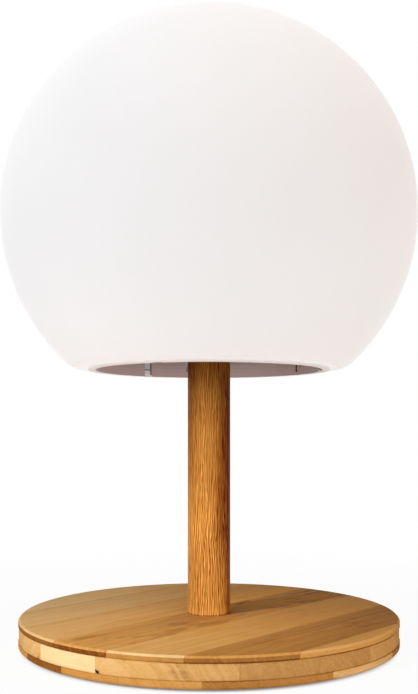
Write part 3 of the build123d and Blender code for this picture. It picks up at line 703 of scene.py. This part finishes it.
def ring_tree():
    """Tree that sets a package along two circles on the lighting board, each turned to face the axis."""
    tree, given = new_tree(
        "light_rings",
        Outer_circle="Float",
        Outer_count="Int",
        Outer_turn="Float",
        Inner_circle="Float",
        Inner_count="Int",
        Height="Float",
        Frame="Material",
        Window="Material",
    )
    lift = given.node("ShaderNodeCombineXYZ", inputs={"Z": given.output("Height")})
    turn = given.node("ShaderNodeCombineXYZ", inputs={"Z": given.output("Outer turn")})
    spot = given.node("GeometryNodeInputPosition")
    flat = given.node("ShaderNodeVectorMath", {"operation": "MULTIPLY"}, {0: spot, 1: (1, 1, 0)})
    facing = given.node("FunctionNodeAlignRotationToVector", {"axis": "X"}, {"Vector": flat})
    joined = given.node("GeometryNodeJoinGeometry")
    for ring, turned in (("Inner", {}), ("Outer", {"Rotation": turn})):
        circle = {"Vertices": given.output(f"{ring} count"), "Radius": given.output(f"{ring} circle")}
        points = given.node("GeometryNodeMeshCircle", inputs=circle)
        points = points.then("Transform", Translation=lift, **turned)
        stood = {"Points": points, "Instance": given, "Rotation": facing}
        given.node("GeometryNodeInstanceOnPoints", inputs=stood).into(joined.socket.node, "Geometry")
    window = given.node("GeometryNodeInputNamedAttribute", {"data_type": "BOOLEAN"}, {"Name": "window"})
    framed = joined.then("RealizeInstances").then("SetMaterial", Material=given.output("Frame"))
    done = framed.then("SetMaterial", Material=given.output("Window"), Selection=window)
    done.into(tree.nodes.new("NodeGroupOutput"), "Geometry")
    return tree


def globe_middle(size):
    """Height of the middle of the globe's ellipse."""
    return shade_high.z - size.half_height


def globe_profile(size, inset):
    """Half outline of the globe, set in by a distance: rounded edge of the underside, then the ellipse."""
    radius = size.radius - inset
    half_height = size.half_height - inset
    bottom = size.underside + inset
    edge = size.edge_radius - inset
    edge_steps, side_steps, halvings = 10, 72, 60
    pole, nadir = math.pi / 2, -math.pi / 2

    def side(turn):
        return Vector((radius * math.cos(turn), globe_middle(size) + half_height * math.sin(turn)))

    def edge_middle(turn):
        inward = Vector((-math.cos(turn) / radius, -math.sin(turn) / half_height)).normalized()
        return side(turn) + inward * edge

    # Halve the span of angles until the rounding just touches the underside
    low, high = nadir, 0.0
    for _ in range(halvings):
        halfway = (low + high) / 2
        if edge_middle(halfway).y < bottom + edge:
            low = halfway
        else:
            high = halfway
    middle = edge_middle(low)
    touch = side(low) - middle
    last = math.atan2(touch.y, touch.x)
    points = []
    for i in range(edge_steps):
        turn = nadir + (last - nadir) * i / edge_steps
        points.append((middle.x + edge * math.cos(turn), middle.y + edge * math.sin(turn)))
    for i in range(side_steps + 1):
        point = side(low + (pole - low) * i / side_steps)
        points.append((max(point.x, 0.0), point.y))
    return points


def turned_ring(profile, segments):
    """Closed ring from a closed outline of radius and height, as a bmesh."""
    ring = bmesh.new()
    rows = []
    for i in range(segments):
        turn = math.tau * i / segments
        rows.append([ring.verts.new((r * math.cos(turn), r * math.sin(turn), z)) for r, z in profile])
    for i in range(segments):
        here, there = rows[i], rows[(i + 1) % segments]
        for j in range(len(profile)):
            k = (j + 1) % len(profile)
            ring.faces.new((here[j], there[j], there[k], here[k]))
    bmesh.ops.recalc_face_normals(ring, faces=ring.faces)
    return ring


def sawn(blank, normal, low, high):
    """Copy of a blank between two upright saw cuts, closed where it is cut."""
    flat = math.radians(0.4)
    stave = blank.copy()
    for offset, side in ((low, -1), (high, 1)):
        everything = stave.verts[:] + stave.edges[:] + stave.faces[:]
        bmesh.ops.bisect_plane(
            stave, geom=everything, plane_co=normal * offset, plane_no=normal * side, clear_outer=True
        )
        rims = [edge for edge in stave.edges if edge.is_boundary]
        bmesh.ops.holes_fill(stave, edges=rims, sides=0)
    bmesh.ops.dissolve_limit(stave, angle_limit=flat, verts=stave.verts, edges=stave.edges)
    return stave


def eased(stave, width):
    """Take the sharp edges of a stave off with sandpaper."""
    blunt = math.radians(25)
    sharp = [edge for edge in stave.edges if edge.is_manifold and edge.calc_face_angle() > blunt]
    bmesh.ops.bevel(
        stave, geom=sharp, offset=width, segments=2, profile=0.5, affect="EDGES", clamp_overlap=True
    )


def heading(turn):
    """Level direction at an angle."""
    return Vector((math.cos(turn), math.sin(turn), 0))


class Ply(NamedTuple):
    """One layer of the base, with the headings of its grain and of its row of staves"""

    name: str
    node: str
    outline: list
    staves: list
    finish: bpy.types.Material
    grain: float
    row: float
    seam: float
    seed: int


def saw_cuts(seam, wood):
    """Places of the saw cuts from rim to rim, one of them at a given seam, with no sliver at the rim."""
    most = math.ceil(2 * base_radius / wood.stave_width)
    lines = [seam + wood.stave_width * i for i in range(-most, most + 1)]
    kept = [line for line in lines if abs(line) < base_radius - wood.sliver]
    return [-base_radius, *kept, base_radius]


def glued_ply(ply, wood):
    """Mesh of one ply, sawn into staves, with each stave's tones, place and figure kept for its finish."""
    rim_faces = 288
    most_shrink, most_sink, most_shift = 0.0009, 0.00006, 3
    upright, level, flat = 0.5, 0.95, 0.99
    chance = random.Random(ply.seed)
    blank = turned_ring(ply.outline, rim_faces)
    row = heading(ply.row)
    cuts = saw_cuts(ply.seam, wood)
    verts, faces, marks = [], [], []
    for low, high, (tone, figure, *trim) in zip(cuts[:-1], cuts[1:], ply.staves, strict=True):
        # On the top ply the arris tone is a painted highlight
        side, arris = trim or (tone, tone)
        stave = sawn(blank, row, low, high)
        eased(stave, wood.ease)
        stave.verts.index_update()
        first = len(verts)
        shrink = 1 - most_shrink * chance.random()
        sink = most_sink * chance.random()
        shift = most_shift * chance.random()
        verts += [(v.co.x * shrink, v.co.y * shrink, v.co.z - sink) for v in stave.verts]
        faces += [[first + v.index for v in face.verts] for face in stave.faces]
        for face in stave.faces:
            tilt = abs(face.normal.z)
            outer = face.calc_center_median().xy.length > base_radius - wood.arris
            shown = side if tilt < upright else arris if outer and tilt < level else tone
            marks += (shown, shift, figure)
        stave.free()
    blank.free()
    mesh = bpy.data.meshes.new(ply.name)
    mesh.from_pydata(verts, [], faces)
    keep_marks(mesh, "stave", "FLOAT_VECTOR", marks)
    glued = [float(at_seam(face, row, cuts[1:-1], wood.ease)) for face in mesh.polygons]
    keep_marks(mesh, "seam", "FLOAT", glued)
    along = heading(ply.grain)
    ends = [abs(face.normal.dot(along)) ** 2 for face in mesh.polygons]
    keep_marks(mesh, "end_grain", "FLOAT", ends)
    mesh.polygons.foreach_set("use_smooth", [abs(face.normal.z) < flat for face in mesh.polygons])
    mesh.set_sharp_from_angle(angle=math.radians(35))
    return mesh


def at_seam(face, row, seams, ease):
    """Whether a face leans into a glue line, and isn't part of the rim."""
    least_lean, rim_facing = 0.3, 0.97
    gap = min(abs(row.dot(face.center) - seam) for seam in seams)
    outward = face.normal.xy.normalized().dot(face.center.xy.normalized())
    return gap < 2 * ease and abs(face.normal.dot(row)) > least_lean and not outward > rim_facing


def light_package(size):
    """Small white frame with a sunk window, standing on its own origin."""
    bevel, steep, same_height = 0.00008, math.radians(70), 1e-6
    tall = chips_high.z - chips_low.z
    block = bmesh.new()
    bmesh.ops.create_cube(block, size=1.0)
    bmesh.ops.scale(block, vec=(size.package_width, size.package_length, tall), verts=block.verts)
    bmesh.ops.translate(block, vec=(0, 0, tall / 2), verts=block.verts)
    lid = max(block.faces, key=lambda face: face.calc_center_median().z)
    bmesh.ops.inset_individual(block, faces=[lid], thickness=size.window_rim, depth=0)
    bmesh.ops.inset_individual(block, faces=[lid], thickness=size.window_rim / 2, depth=-tall / 4)
    sunk = lid.calc_center_median().z
    outer = [edge for edge in block.edges if edge.calc_face_angle() > steep]
    bmesh.ops.bevel(block, geom=outer, offset=bevel, segments=1, affect="EDGES")
    mesh = bpy.data.meshes.new("light_package")
    block.to_mesh(mesh)
    block.free()
    window = [abs(face.center.z - sunk) < same_height and face.normal.z > 0.9 for face in mesh.polygons]
    keep_marks(mesh, "window", "BOOLEAN", window)
    return mesh


class LAMP_OT_stage(bpy.types.Operator):
    """Set up the camera, the pale floor and the soft studio light"""

    bl_idname = "lamp.stage"
    bl_label = "Stage"

    def execute(self, context):
        scene = context.scene
        stage = scene.lamp_stage
        scene.view_settings.view_transform = "Standard"
        self.set_camera(scene, stage)
        self.hang_lamps(stage)
        self.lay_floor(scene)
        self.light_sky(scene, stage.sky, stage.sky_warm)
        return {"FINISHED"}

    def set_camera(self, scene, stage):
        """Set a level camera in front of the lamp."""
        camera = bpy.data.objects.new("camera", bpy.data.cameras.new("camera"))
        camera.location = (0, -stage.distance, stage.height)
        camera.rotation_euler = (math.pi / 2, 0, 0)
        camera.data.lens = stage.lens
        camera.data.shift_y = stage.rise
        camera.data.clip_start = 0.01
        scene.collection.objects.link(camera)
        scene.camera = camera

    def hang_lamps(self, stage):
        """Hang two soft boxes that look at the globe, and three narrow lamps that look at the wood."""
        globe = (0, 0, 0.13)
        boxes = (
            ("key", (-0.95, -0.85, 2.05), 1.1, white, stage.key_power),
            ("fill", (1.4, -0.7, 0.9), 1.2, (1.0, 0.55, 0.2), stage.fill_power),
        )
        for name, place, side, tint, watts in boxes:
            self.hang(name, "AREA", place, globe, size=side, color=tint, energy=watts)
        # Place, target, width of the cone in degrees, softness of its edge and radius of the lamp
        snoots = (
            ("stem_lamp", (-0.55, -1.08, 0.1), (-0.003, -0.008, 0.074), 4.0, 0.6, 0.012, stage.stem_power),
            ("base_lamp", (-1.0, -0.8, 0.65), (-0.032, -0.056, 0.013), 8.2, 1.0, 0.055, stage.base_power),
            ("front_lamp", (0.45, -1.1, 0.1), (0.06, -0.055, 0.006), 8.9, 1.0, 0.05, stage.front_power),
        )
        for name, place, target, cone, blend, radius, watts in snoots:
            beam = {"spot_size": math.radians(cone), "spot_blend": blend, "shadow_soft_size": radius}
            self.hang(name, "SPOT", place, target, color=(1.0, 0.97, 0.92), energy=watts, **beam)

    def hang(self, name, kind, place, target, **settings):
        """Hang one lamp and aim it."""
        light = bpy.data.lights.new(name, kind)
        for setting, value in settings.items():
            setattr(light, setting, value)
        lamp = bpy.data.objects.new(name, light)
        lamp.location = place
        aim = Vector(target) - Vector(place)
        lamp.rotation_euler = aim.to_track_quat("-Z", "Y").to_euler()
        bpy.context.scene.collection.objects.link(lamp)

    def seen(self, wire):
        """1 on rays that see the background straight, in gloss or through glass."""
        path = wire.node("ShaderNodeLightPath", output="Is Camera Ray")
        either = path.maths("MAXIMUM", path, path.output("Is Glossy Ray"))
        return path.maths("MAXIMUM", either, path.output("Is Transmission Ray"))

    def lay_floor(self, scene):
        """Lay a wide floor that looks white and still takes a faint shadow close to the base."""
        half = 6.0
        mesh = bpy.data.meshes.new("floor")
        corners = [(-half, -half, 0), (half, -half, 0), (half, half, 0), (-half, half, 0)]
        mesh.from_pydata(corners, [], [(0, 1, 2, 3)])
        floor = bpy.data.objects.new("floor", mesh)
        material, place = new_finish("floor_paper", Base_Color=(0.8, 0.8, 0.8, 1), Roughness=0.9)
        nodes = material.node_tree.nodes
        out = place.node("ShaderNodeVectorMath", {"operation": "LENGTH"}, {0: place}, output="Value")
        # Little of the white under the base, most of it from the rim on, and all of it further out
        share = 0.15 + 0.8 * out.step(0.0775, 0.083) + 0.05 * out.step(0.08, 0.4)
        glow = place.node("ShaderNodeEmission", inputs={"Color": opaque(white), "Strength": 1.0})
        paper = Wire(material.node_tree, nodes["Principled BSDF"].outputs["BSDF"])
        blend = place.node("ShaderNodeMixShader", inputs={0: self.seen(place) * share, 1: paper, 2: glow})
        blend.into(nodes["Material Output"], "Surface")
        mesh.materials.append(material)
        scene.collection.objects.link(floor)

    def light_sky(self, scene, level, warm):
        """Light from all round, warm from the right, weak from low behind, and white where it is seen."""
        world = bpy.data.worlds.new("studio")
        world.use_nodes = True
        scene.world = world
        aim = Wire(world.node_tree).node("ShaderNodeTexCoord", output="Generated")
        x, y, z = aim.axes()
        behind = y.step(-0.3, 0.5) * (1 - z.step(0.25, 0.8))
        tint = (0.6 * behind).mixed(x.step(0.0, 0.9).mixed(white, warm), black)
        soft = aim.node("ShaderNodeBackground", inputs={"Color": tint, "Strength": level})
        plain = aim.node("ShaderNodeBackground", inputs={"Color": opaque(white), "Strength": 1.0})
        blend = aim.node("ShaderNodeMixShader", inputs={0: self.seen(aim), 1: soft, 2: plain})
        blend.into(world.node_tree.nodes["World Output"], "Surface")


class LAMP_OT_shade(bpy.types.Operator):
    """Turn the globe from its ellipse"""

    bl_idname = "lamp.shade"
    bl_label = "Shade"

    def execute(self, context):
        size = context.scene.lamp_shade
        hole = [(size.hole_radius, size.underside + size.wall), (size.hole_radius, size.underside)]
        outline = globe_profile(size, size.wall)[::-1] + hole + globe_profile(size, 0.0)
        source = bpy.data.meshes.new("globe_outline")
        source.from_pydata([(r, 0, z) for r, z in outline], [], [])
        finish = milky_plastic("milky_shade", size.tint, size.glow, size.hole_radius)
        values = {"Segments": size.segments, "Finish": finish}
        mesh = grown_mesh("shade_globe", source, lathe_tree(), values)
        closed = bmesh.new()
        closed.from_mesh(mesh)
        bmesh.ops.recalc_face_normals(closed, faces=closed.faces)
        closed.to_mesh(mesh)
        closed.free()
        mesh.set_sharp_from_angle(angle=math.radians(40))
        keep_marks(mesh, "inner", "FLOAT", [float(self.is_inner(face, size)) for face in mesh.polygons])
        place_piece("shade_globe", mesh, "shade", "shade")
        return {"FINISHED"}

    def is_inner(self, face, size):
        """Whether a face is on the inner wall, clear of the hole's edge."""
        middle = Vector((0, 0, globe_middle(size)))
        clear = size.hole_radius + size.wall / 2
        beyond = face.center.z > middle.z or face.center.xy.length > clear
        return beyond and face.normal.dot(face.center - middle) < 0


class LAMP_OT_base(bpy.types.Operator):
    """Saw and glue the staves of the three plies"""

    bl_idname = "lamp.base"
    bl_label = "Base"

    def execute(self, context):
        wood = context.scene.lamp_wood
        for ply in self.plies(wood):
            mesh = glued_ply(ply, wood)
            mesh.materials.append(ply.finish)
            place_piece(ply.name, mesh, "stand", ply.node)
        return {"FINISHED"}

    def plies(self, wood):
        """The three plies, with the outline of each as radius and height."""
        top = [
            (wood.stem_seat, top_low.z),
            (base_radius, top_low.z),
            (base_radius, top_high.z - wood.arris),
            (base_radius - wood.arris, top_high.z),
            (wood.stem_seat, top_high.z),
        ]
        core = [
            (wood.bolt_recess, core_low.z),
            (base_radius - wood.core_inset, core_low.z),
            (base_radius - wood.core_inset, core_high.z),
            (wood.stem_seat, core_high.z),
            (wood.stem_seat, stem_low.z),
            (wood.bolt_hole, stem_low.z),
            (wood.bolt_hole, washer_top),
            (wood.bolt_recess, washer_top),
        ]
        bottom = [
            (wood.bolt_recess, bottom_low.z),
            (base_radius - wood.arris, bottom_low.z),
            (base_radius, bottom_low.z + wood.arris),
            (base_radius, bottom_high.z),
            (wood.bolt_recess, bottom_high.z),
        ]
        # Tone of each stave from pale to brown, and strength of its figure
        top_tones = (0.27, 0.35, 0.42, 0.56, 0.45, 0.68, 0.46)
        top_figure = (0.2, 0.2, 0.3, 1.0, 0.2, 0.4, 0.1)
        core_tones = (0.36, 0.42, 0.38, 0.36, 0.43, 0.45, 0.38, 0.08)
        core_figure = (0.2, 0.2, 0.2, 0.2, 0.2, 0.2, 1.0, 0.3)
        bottom_tones = (0.34, 0.4, 0.75, 0.43, 0.38, 0.64, 0.28)
        bottom_figure = (0.2, 0.4, 0.2, 0.2, 0.4, 0.2, 0.2)
        # Tones of the top staves on their side, and along their arris, where the paler tones are a painted
        # highlight
        top_side = (0.6, 0.7, 0.72, 0.8, 0.46, 0.7, 0.44)
        top_arris_highlight = (0.3, 0.25, 0.22, 0.44, 0.15, 0.46, 0.36)
        top_staves = list(zip(top_tones, top_figure, top_side, top_arris_highlight))
        core_staves = list(zip(core_tones, core_figure))
        bottom_staves = list(zip(bottom_tones, bottom_figure))
        # Middle and radius of each chip
        chips = [
            (self.on_rim(wood.chip_turn, core_low.z + 0.0005), 0.0011),
            (self.on_rim(wood.small_chip_turn, core_low.z + 0.0002), 0.0006),
        ]
        quarter = math.pi / 2
        turn = wood.grain_turn
        across = turn + quarter
        outer_wood = stave_wood("stave_wood", wood, turn, wood.tan, shade_slope=1.0)
        core_wood = stave_wood("stave_wood_across", wood, across, wood.core_tan, shade_slope=0.0, chips=chips)
        outer = (outer_wood, turn, turn - quarter)
        inner = (core_wood, across, across + quarter)
        return (
            Ply("base_top_staves", "base_top_ply", top, top_staves, *outer, seam=-0.0063, seed=3),
            Ply("base_core_staves", "base_core_ply", core, core_staves, *inner, seam=-0.0003, seed=7),
            Ply(
                "base_bottom_staves", "base_bottom_ply", bottom, bottom_staves, *outer, seam=-0.0013, seed=11
            ),
        )

    def on_rim(self, turn, height):
        """Point on the rim at an angle from the front."""
        return (base_radius * math.sin(turn), -base_radius * math.cos(turn), height)


class LAMP_OT_stem(bpy.types.Operator):
    """Finish the dowel"""

    bl_idname = "lamp.stem"
    bl_label = "Stem"

    def execute(self, context):
        dress(dowel_wood("dowel_wood", context.scene.lamp_wood), "stem")
        return {"FINISHED"}


class LAMP_OT_collar(bpy.types.Operator):
    """Finish the collar and its gasket"""

    bl_idname = "lamp.collar"
    bl_label = "Collar"

    def execute(self, context):
        colours = context.scene.lamp_module
        dress(satin_grey("collar_satin", colours.collar, colours.lip, colours.mouth), "shade_collar")
        dress(soft_rubber("gasket_rubber", swatch(170, 168, 166)), "collar_gasket")
        return {"FINISHED"}


class LAMP_OT_module(bpy.types.Operator):
    """Finish the light module and what it holds"""

    bl_idname = "lamp.module"
    bl_label = "Light module"

    def execute(self, context):
        housing = moulded_plastic("housing_plastic", context.scene.lamp_module.housing)
        plunger = moulded_plastic("plunger_plastic", swatch(206, 60, 44), grit=0.00001, rough=0.4)
        lanes = (0.007, 0.0045)
        board = circuit_board("control_mask", swatch(28, 96, 60), swatch(16, 62, 40), lane_gaps, *lanes)
        red = swatch(186, 32, 26)
        dress(housing, "module_housing", "module_lid")
        dress(moulded_plastic("holder_plastic", swatch(34, 34, 36)), "battery_holder", "tact_switch")
        dress(plunger, "switch_plunger")
        dress(shrink_wrap("cell_film", swatch(44, 92, 150), swatch(196, 194, 190)), "battery_cell")
        dress(turned_metal("contact_nickel", swatch(202, 198, 190), rough=0.22), "battery_contacts")
        dress(board, "control_board")
        dress(lead_sleeves("battery_sleeves", swatch(26, 26, 28), red), "battery_leads")
        dress(lead_sleeves("light_sleeves", swatch(232, 230, 224), red), "led_leads")
        return {"FINISHED"}


class LAMP_OT_controls(bpy.types.Operator):
    """Finish the button, the charging socket with its cover, and the charge light"""

    bl_idname = "lamp.controls"
    bl_label = "Controls"

    def execute(self, context):
        colours = context.scene.lamp_module
        dress(moulded_plastic("button_plastic", colours.button, grit=0.00001, rough=0.36), "power_button")
        dress(soft_rubber("cover_rubber", colours.rubber), "port_cover", "port_cover_anchor")
        dress(socket_metal("socket_nickel", swatch(208, 206, 202)), "usb_socket")
        pin_tints = (0.86, 0.9, 0.88), (0.96, 0.98, 0.97)
        clear = {"Transmission_Weight": 0.85, "IOR": 1.49}
        pin = cloudy("light_pin", *pin_tints, grains=900, rough=0.12, spread=0.25, **clear)
        dress(pin, "charge_light_pipe")
        return {"FINISHED"}


class LAMP_OT_lighting(bpy.types.Operator):
    """Set the rings of light packages on their board"""

    bl_idname = "lamp.lighting"
    bl_label = "Lighting board"

    def execute(self, context):
        size = context.scene.lamp_light
        board = circuit_board("light_mask", swatch(232, 232, 228), swatch(204, 201, 194), ring_gaps, size)
        dress(board, "led_board")
        gel_tints = swatch(236, 196, 70), swatch(250, 226, 128)
        soft = {"Subsurface_Weight": 0.2, "IOR": 1.41}
        values = {
            "Outer circle": size.outer_circle,
            "Outer count": size.outer_count,
            "Outer turn": size.outer_turn,
            "Inner circle": size.inner_circle,
            "Inner count": size.inner_count,
            "Height": chips_low.z,
            "Frame": moulded_plastic("package_plastic", swatch(238, 238, 234), grit=0.00001, rough=0.4),
            "Window": cloudy("phosphor_gel", *gel_tints, grains=5200, rough=0.35, spread=0.2, **soft),
        }
        mesh = grown_mesh("light_packages", light_package(size), ring_tree(), values)
        place_piece("light_packages", mesh, "stand", "led_chips")
        return {"FINISHED"}


class LAMP_OT_fasteners(bpy.types.Operator):
    """Finish the bolts, washers, inserts and screws"""

    bl_idname = "lamp.fasteners"
    bl_label = "Fasteners"

    def execute(self, context):
        bolts = ("stem_top_bolt", "stem_top_washer", "base_bolt", "base_washer")
        screws = ("lid_screws", "led_board_screws", "board_screws")
        inserts = ("stem_top_insert", "stem_bottom_insert")
        dress(turned_metal("bolt_steel", swatch(176, 174, 172), rough=0.3), *bolts)
        dress(turned_metal("screw_steel", swatch(196, 194, 190), rough=0.25), *screws)
        dress(turned_metal("insert_brass", swatch(206, 170, 92), rough=0.3, lines=1400), *inserts)
        return {"FINISHED"}


class LAMP_OT_pads(bpy.types.Operator):
    """Finish the foot pads"""

    bl_idname = "lamp.pads"
    bl_label = "Foot pads"

    def execute(self, context):
        dress(soft_rubber("pad_rubber", context.scene.lamp_module.rubber), "foot_pads")
        return {"FINISHED"}


class LAMP_PT_panel(bpy.types.Panel):
    """Sizes, colours and steps of the lamp"""

    bl_idname = "LAMP_PT_panel"
    bl_label = "Cordless Table Lamp"
    bl_space_type = "VIEW_3D"
    bl_region_type = "UI"
    bl_category = "Lamp"

    def draw(self, context):
        for operator in operators:
            self.layout.operator(operator.bl_idname)
        for name, group in settings.items():
            box = self.layout.box()
            box.label(text=group.__doc__)
            for prop in group.__annotations__:
                box.prop(getattr(context.scene, name), prop)


settings = {
    "lamp_shade": ShadeSettings,
    "lamp_wood": WoodSettings,
    "lamp_module": ModuleSettings,
    "lamp_light": LightSettings,
    "lamp_stage": StageSettings,
}
operators = (
    LAMP_OT_stage,
    LAMP_OT_shade,
    LAMP_OT_base,
    LAMP_OT_stem,
    LAMP_OT_collar,
    LAMP_OT_module,
    LAMP_OT_controls,
    LAMP_OT_lighting,
    LAMP_OT_fasteners,
    LAMP_OT_pads,
)


def register():
    """Make the settings, the operators and the panel known."""
    for name, group in settings.items():
        bpy.utils.register_class(group)
        setattr(bpy.types.Scene, name, bpy.props.PointerProperty(type=group))
    for operator in operators:
        bpy.utils.register_class(operator)
    bpy.utils.register_class(LAMP_PT_panel)


def unregister():
    """Take them away again."""
    bpy.utils.unregister_class(LAMP_PT_panel)
    for operator in reversed(operators):
        bpy.utils.unregister_class(operator)
    for name, group in settings.items():
        delattr(bpy.types.Scene, name)
        bpy.utils.unregister_class(group)


def main():
    """Build the whole scene."""
    register()
    for operator in operators:
        group, step = operator.bl_idname.split(".")
        getattr(getattr(bpy.ops, group), step)()


if __name__ == "__main__":
    main()
